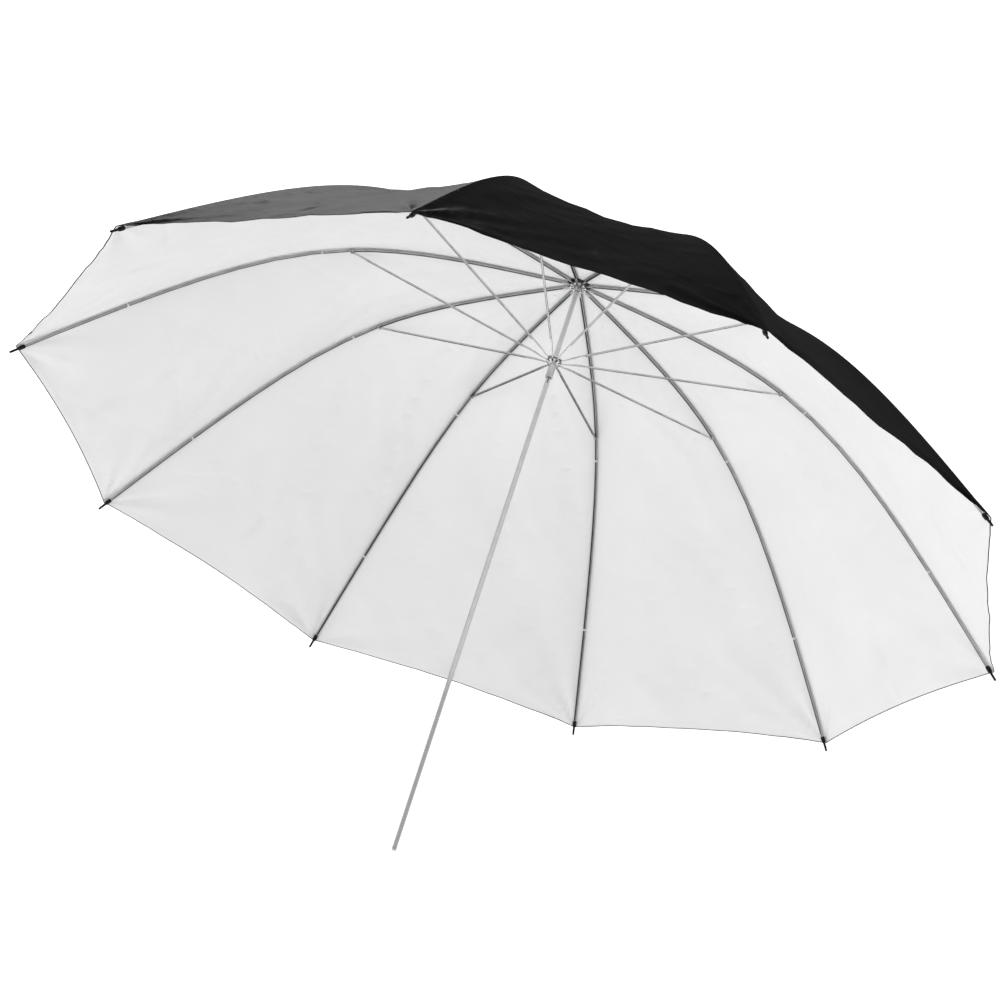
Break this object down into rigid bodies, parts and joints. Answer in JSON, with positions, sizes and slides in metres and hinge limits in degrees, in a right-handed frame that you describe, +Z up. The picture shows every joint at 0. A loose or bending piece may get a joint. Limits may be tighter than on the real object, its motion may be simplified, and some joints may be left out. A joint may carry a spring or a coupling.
{
  "type": "umbrella reflector",
  "caption": "Open studio umbrella reflector: black canopy with a white inside on curved steel ribs, with stretchers, a sliding runner and a thin steel shaft.",
  "frame": {"origin": "on the shaft's axis, 120 mm from its free end, where a light stand's bracket grips it", "axes": "shaft along Y with its free end towards -Y; the white bowl opens towards -Y; +Z up, through the middle of a gore"},
  "size_m": [1.5016, 0.959, 1.4284],
  "materials": {
    "chromed_steel": "bright plated",
    "cast_metal": "satin plated casting",
    "steel_wire": "drawn wire",
    "rib_steel": "plated sheet steel",
    "black_plastic": "satin moulded",
    "black_fabric": "woven black outside with a white inside"
  },
  "bodies": {
    "shaft": {"shaft_tube": "chromed_steel", "shaft_end_plug": "cast_metal", "top_notch": "cast_metal", "top_notch_wire": "steel_wire", "top_notch_pin": "steel_wire", "crown_washer": "black_fabric", "crown_cap": "black_plastic"},
    "catch": {"catch_spring": "steel_wire"},
    "runner": {"runner": "cast_metal", "runner_wire": "steel_wire"},
    "rib_inner_01": {"rib_inner_01": "rib_steel", "canopy_panel_01": "black_fabric"},
    "rib_outer_01": {"rib_outer_01": "rib_steel", "rib_tip_01": "black_plastic"},
    "stretcher_01": {"stretcher_01": "rib_steel"},
    "rib_inner_02": {"rib_inner_02": "rib_steel", "canopy_panel_02": "black_fabric"},
    "rib_outer_02": {"rib_outer_02": "rib_steel", "rib_tip_02": "black_plastic"},
    "stretcher_02": {"stretcher_02": "rib_steel"},
    "rib_inner_03": {"rib_inner_03": "rib_steel", "canopy_panel_03": "black_fabric"},
    "rib_outer_03": {"rib_outer_03": "rib_steel", "rib_tip_03": "black_plastic"},
    "stretcher_03": {"stretcher_03": "rib_steel"},
    "rib_inner_04": {"rib_inner_04": "rib_steel", "canopy_panel_04": "black_fabric"},
    "rib_outer_04": {"rib_outer_04": "rib_steel", "rib_tip_04": "black_plastic"},
    "stretcher_04": {"stretcher_04": "rib_steel"},
    "rib_inner_05": {"rib_inner_05": "rib_steel", "canopy_panel_05": "black_fabric"},
    "rib_outer_05": {"rib_outer_05": "rib_steel", "rib_tip_05": "black_plastic"},
    "stretcher_05": {"stretcher_05": "rib_steel"},
    "rib_inner_06": {"rib_inner_06": "rib_steel", "canopy_panel_06": "black_fabric"},
    "rib_outer_06": {"rib_outer_06": "rib_steel", "rib_tip_06": "black_plastic"},
    "stretcher_06": {"stretcher_06": "rib_steel"},
    "rib_inner_07": {"rib_inner_07": "rib_steel", "canopy_panel_07": "black_fabric"},
    "rib_outer_07": {"rib_outer_07": "rib_steel", "rib_tip_07": "black_plastic"},
    "stretcher_07": {"stretcher_07": "rib_steel"},
    "rib_inner_08": {"rib_inner_08": "rib_steel", "canopy_panel_08": "black_fabric"},
    "rib_outer_08": {"rib_outer_08": "rib_steel", "rib_tip_08": "black_plastic"},
    "stretcher_08": {"stretcher_08": "rib_steel"},
    "rib_inner_09": {"rib_inner_09": "rib_steel", "canopy_panel_09": "black_fabric"},
    "rib_outer_09": {"rib_outer_09": "rib_steel", "rib_tip_09": "black_plastic"},
    "stretcher_09": {"stretcher_09": "rib_steel"},
    "rib_inner_10": {"rib_inner_10": "rib_steel", "canopy_panel_10": "black_fabric"},
    "rib_outer_10": {"rib_outer_10": "rib_steel", "rib_tip_10": "black_plastic"},
    "stretcher_10": {"stretcher_10": "rib_steel"}
  },
  "joints": [
    {"name": "runner_slide", "type": "slide", "parent": "shaft", "child": "runner", "axis": [0, -1, 0], "range_m": [0, 0.53191], "deforming": ["canopy_panel_01", "canopy_panel_02", "canopy_panel_03", "canopy_panel_04", "canopy_panel_05", "canopy_panel_06", "canopy_panel_07", "canopy_panel_08", "canopy_panel_09", "canopy_panel_10"]},
    {"name": "catch_press", "type": "slide", "parent": "shaft", "child": "catch", "axis": [0, 0, -1], "range_m": [0, 0.0022], "stiffness_N_per_m": 400},
    {"name": "rib_hinge_01", "type": "hinge", "parent": "shaft", "child": "rib_inner_01", "pos_m": [0.00309, 0.815, 0.00951], "axis": [-0.9511, 0, 0.309], "range_deg": [-76.1, 0]},
    {"name": "rib_flex_01", "type": "hinge", "parent": "rib_inner_01", "child": "rib_outer_01", "pos_m": [0.10595, 0.74967, 0.32608], "axis": [-0.9511, 0, 0.309], "range_deg": [0, 25.01]},
    {"name": "stretcher_hinge_01", "type": "hinge", "parent": "rib_inner_01", "child": "stretcher_01", "pos_m": [0.10415, 0.7472, 0.32055], "axis": [-0.9511, 0, 0.309], "range_deg": [0, 152.19]},
    {"name": "rib_hinge_02", "type": "hinge", "parent": "shaft", "child": "rib_inner_02", "pos_m": [0.00809, 0.815, 0.00588], "axis": [-0.5878, 0, 0.809], "range_deg": [-76.1, 0]},
    {"name": "rib_flex_02", "type": "hinge", "parent": "rib_inner_02", "child": "rib_outer_02", "pos_m": [0.27738, 0.74967, 0.20153], "axis": [-0.5878, 0, 0.809], "range_deg": [0, 25.01]},
    {"name": "stretcher_hinge_02", "type": "hinge", "parent": "rib_inner_02", "child": "stretcher_02", "pos_m": [0.27268, 0.7472, 0.19811], "axis": [-0.5878, 0, 0.809], "range_deg": [0, 152.19]},
    {"name": "rib_hinge_03", "type": "hinge", "parent": "shaft", "child": "rib_inner_03", "pos_m": [0.01, 0.815, 0], "axis": [0, 0, 1], "range_deg": [-76.1, 0]},
    {"name": "rib_flex_03", "type": "hinge", "parent": "rib_inner_03", "child": "rib_outer_03", "pos_m": [0.34287, 0.74967, 0], "axis": [0, 0, 1], "range_deg": [0, 25.01]},
    {"name": "stretcher_hinge_03", "type": "hinge", "parent": "rib_inner_03", "child": "stretcher_03", "pos_m": [0.33705, 0.7472, 0], "axis": [0, 0, 1], "range_deg": [0, 152.19]},
    {"name": "rib_hinge_04", "type": "hinge", "parent": "shaft", "child": "rib_inner_04", "pos_m": [0.00809, 0.815, -0.00588], "axis": [0.5878, 0, 0.809], "range_deg": [-76.1, 0]},
    {"name": "rib_flex_04", "type": "hinge", "parent": "rib_inner_04", "child": "rib_outer_04", "pos_m": [0.27738, 0.74967, -0.20153], "axis": [0.5878, 0, 0.809], "range_deg": [0, 25.01]},
    {"name": "stretcher_hinge_04", "type": "hinge", "parent": "rib_inner_04", "child": "stretcher_04", "pos_m": [0.27268, 0.7472, -0.19811], "axis": [0.5878, 0, 0.809], "range_deg": [0, 152.19]},
    {"name": "rib_hinge_05", "type": "hinge", "parent": "shaft", "child": "rib_inner_05", "pos_m": [0.00309, 0.815, -0.00951], "axis": [0.9511, 0, 0.309], "range_deg": [-76.1, 0]},
    {"name": "rib_flex_05", "type": "hinge", "parent": "rib_inner_05", "child": "rib_outer_05", "pos_m": [0.10595, 0.74967, -0.32608], "axis": [0.9511, 0, 0.309], "range_deg": [0, 25.01]},
    {"name": "stretcher_hinge_05", "type": "hinge", "parent": "rib_inner_05", "child": "stretcher_05", "pos_m": [0.10415, 0.7472, -0.32055], "axis": [0.9511, 0, 0.309], "range_deg": [0, 152.19]},
    {"name": "rib_hinge_06", "type": "hinge", "parent": "shaft", "child": "rib_inner_06", "pos_m": [-0.00309, 0.815, -0.00951], "axis": [0.9511, 0, -0.309], "range_deg": [-76.1, 0]},
    {"name": "rib_flex_06", "type": "hinge", "parent": "rib_inner_06", "child": "rib_outer_06", "pos_m": [-0.10595, 0.74967, -0.32608], "axis": [0.9511, 0, -0.309], "range_deg": [0, 25.01]},
    {"name": "stretcher_hinge_06", "type": "hinge", "parent": "rib_inner_06", "child": "stretcher_06", "pos_m": [-0.10415, 0.7472, -0.32055], "axis": [0.9511, 0, -0.309], "range_deg": [0, 152.19]},
    {"name": "rib_hinge_07", "type": "hinge", "parent": "shaft", "child": "rib_inner_07", "pos_m": [-0.00809, 0.815, -0.00588], "axis": [0.5878, 0, -0.809], "range_deg": [-76.1, 0]},
    {"name": "rib_flex_07", "type": "hinge", "parent": "rib_inner_07", "child": "rib_outer_07", "pos_m": [-0.27738, 0.74967, -0.20153], "axis": [0.5878, 0, -0.809], "range_deg": [0, 25.01]},
    {"name": "stretcher_hinge_07", "type": "hinge", "parent": "rib_inner_07", "child": "stretcher_07", "pos_m": [-0.27268, 0.7472, -0.19811], "axis": [0.5878, 0, -0.809], "range_deg": [0, 152.19]},
    {"name": "rib_hinge_08", "type": "hinge", "parent": "shaft", "child": "rib_inner_08", "pos_m": [-0.01, 0.815, 0], "axis": [0, 0, -1], "range_deg": [-76.1, 0]},
    {"name": "rib_flex_08", "type": "hinge", "parent": "rib_inner_08", "child": "rib_outer_08", "pos_m": [-0.34287, 0.74967, 0], "axis": [0, 0, -1], "range_deg": [0, 25.01]},
    {"name": "stretcher_hinge_08", "type": "hinge", "parent": "rib_inner_08", "child": "stretcher_08", "pos_m": [-0.33705, 0.7472, 0], "axis": [0, 0, -1], "range_deg": [0, 152.19]},
    {"name": "rib_hinge_09", "type": "hinge", "parent": "shaft", "child": "rib_inner_09", "pos_m": [-0.00809, 0.815, 0.00588], "axis": [-0.5878, 0, -0.809], "range_deg": [-76.1, 0]},
    {"name": "rib_flex_09", "type": "hinge", "parent": "rib_inner_09", "child": "rib_outer_09", "pos_m": [-0.27738, 0.74967, 0.20153], "axis": [-0.5878, 0, -0.809], "range_deg": [0, 25.01]},
    {"name": "stretcher_hinge_09", "type": "hinge", "parent": "rib_inner_09", "child": "stretcher_09", "pos_m": [-0.27268, 0.7472, 0.19811], "axis": [-0.5878, 0, -0.809], "range_deg": [0, 152.19]},
    {"name": "rib_hinge_10", "type": "hinge", "parent": "shaft", "child": "rib_inner_10", "pos_m": [-0.00309, 0.815, 0.00951], "axis": [-0.9511, 0, -0.309], "range_deg": [-76.1, 0]},
    {"name": "rib_flex_10", "type": "hinge", "parent": "rib_inner_10", "child": "rib_outer_10", "pos_m": [-0.10595, 0.74967, 0.32608], "axis": [-0.9511, 0, -0.309], "range_deg": [0, 25.01]},
    {"name": "stretcher_hinge_10", "type": "hinge", "parent": "rib_inner_10", "child": "stretcher_10", "pos_m": [-0.10415, 0.7472, 0.32055], "axis": [-0.9511, 0, -0.309], "range_deg": [0, 152.19]}
  ],
  "couplings": [
    {"joint": "rib_hinge_01", "follows": "runner_slide", "rad_per_m": -2.4966},
    {"joint": "rib_flex_01", "follows": "runner_slide", "rad_per_m": 0.82032},
    {"joint": "stretcher_hinge_01", "follows": "runner_slide", "rad_per_m": 4.9933},
    {"joint": "rib_hinge_02", "follows": "runner_slide", "rad_per_m": -2.4966},
    {"joint": "rib_flex_02", "follows": "runner_slide", "rad_per_m": 0.82032},
    {"joint": "stretcher_hinge_02", "follows": "runner_slide", "rad_per_m": 4.9933},
    {"joint": "rib_hinge_03", "follows": "runner_slide", "rad_per_m": -2.4966},
    {"joint": "rib_flex_03", "follows": "runner_slide", "rad_per_m": 0.82032},
    {"joint": "stretcher_hinge_03", "follows": "runner_slide", "rad_per_m": 4.9933},
    {"joint": "rib_hinge_04", "follows": "runner_slide", "rad_per_m": -2.4966},
    {"joint": "rib_flex_04", "follows": "runner_slide", "rad_per_m": 0.82032},
    {"joint": "stretcher_hinge_04", "follows": "runner_slide", "rad_per_m": 4.9933},
    {"joint": "rib_hinge_05", "follows": "runner_slide", "rad_per_m": -2.4966},
    {"joint": "rib_flex_05", "follows": "runner_slide", "rad_per_m": 0.82032},
    {"joint": "stretcher_hinge_05", "follows": "runner_slide", "rad_per_m": 4.9933},
    {"joint": "rib_hinge_06", "follows": "runner_slide", "rad_per_m": -2.4966},
    {"joint": "rib_flex_06", "follows": "runner_slide", "rad_per_m": 0.82032},
    {"joint": "stretcher_hinge_06", "follows": "runner_slide", "rad_per_m": 4.9933},
    {"joint": "rib_hinge_07", "follows": "runner_slide", "rad_per_m": -2.4966},
    {"joint": "rib_flex_07", "follows": "runner_slide", "rad_per_m": 0.82032},
    {"joint": "stretcher_hinge_07", "follows": "runner_slide", "rad_per_m": 4.9933},
    {"joint": "rib_hinge_08", "follows": "runner_slide", "rad_per_m": -2.4966},
    {"joint": "rib_flex_08", "follows": "runner_slide", "rad_per_m": 0.82032},
    {"joint": "stretcher_hinge_08", "follows": "runner_slide", "rad_per_m": 4.9933},
    {"joint": "rib_hinge_09", "follows": "runner_slide", "rad_per_m": -2.4966},
    {"joint": "rib_flex_09", "follows": "runner_slide", "rad_per_m": 0.82032},
    {"joint": "stretcher_hinge_09", "follows": "runner_slide", "rad_per_m": 4.9933},
    {"joint": "rib_hinge_10", "follows": "runner_slide", "rad_per_m": -2.4966},
    {"joint": "rib_flex_10", "follows": "runner_slide", "rad_per_m": 0.82032},
    {"joint": "stretcher_hinge_10", "follows": "runner_slide", "rad_per_m": 4.9933}
  ]
}
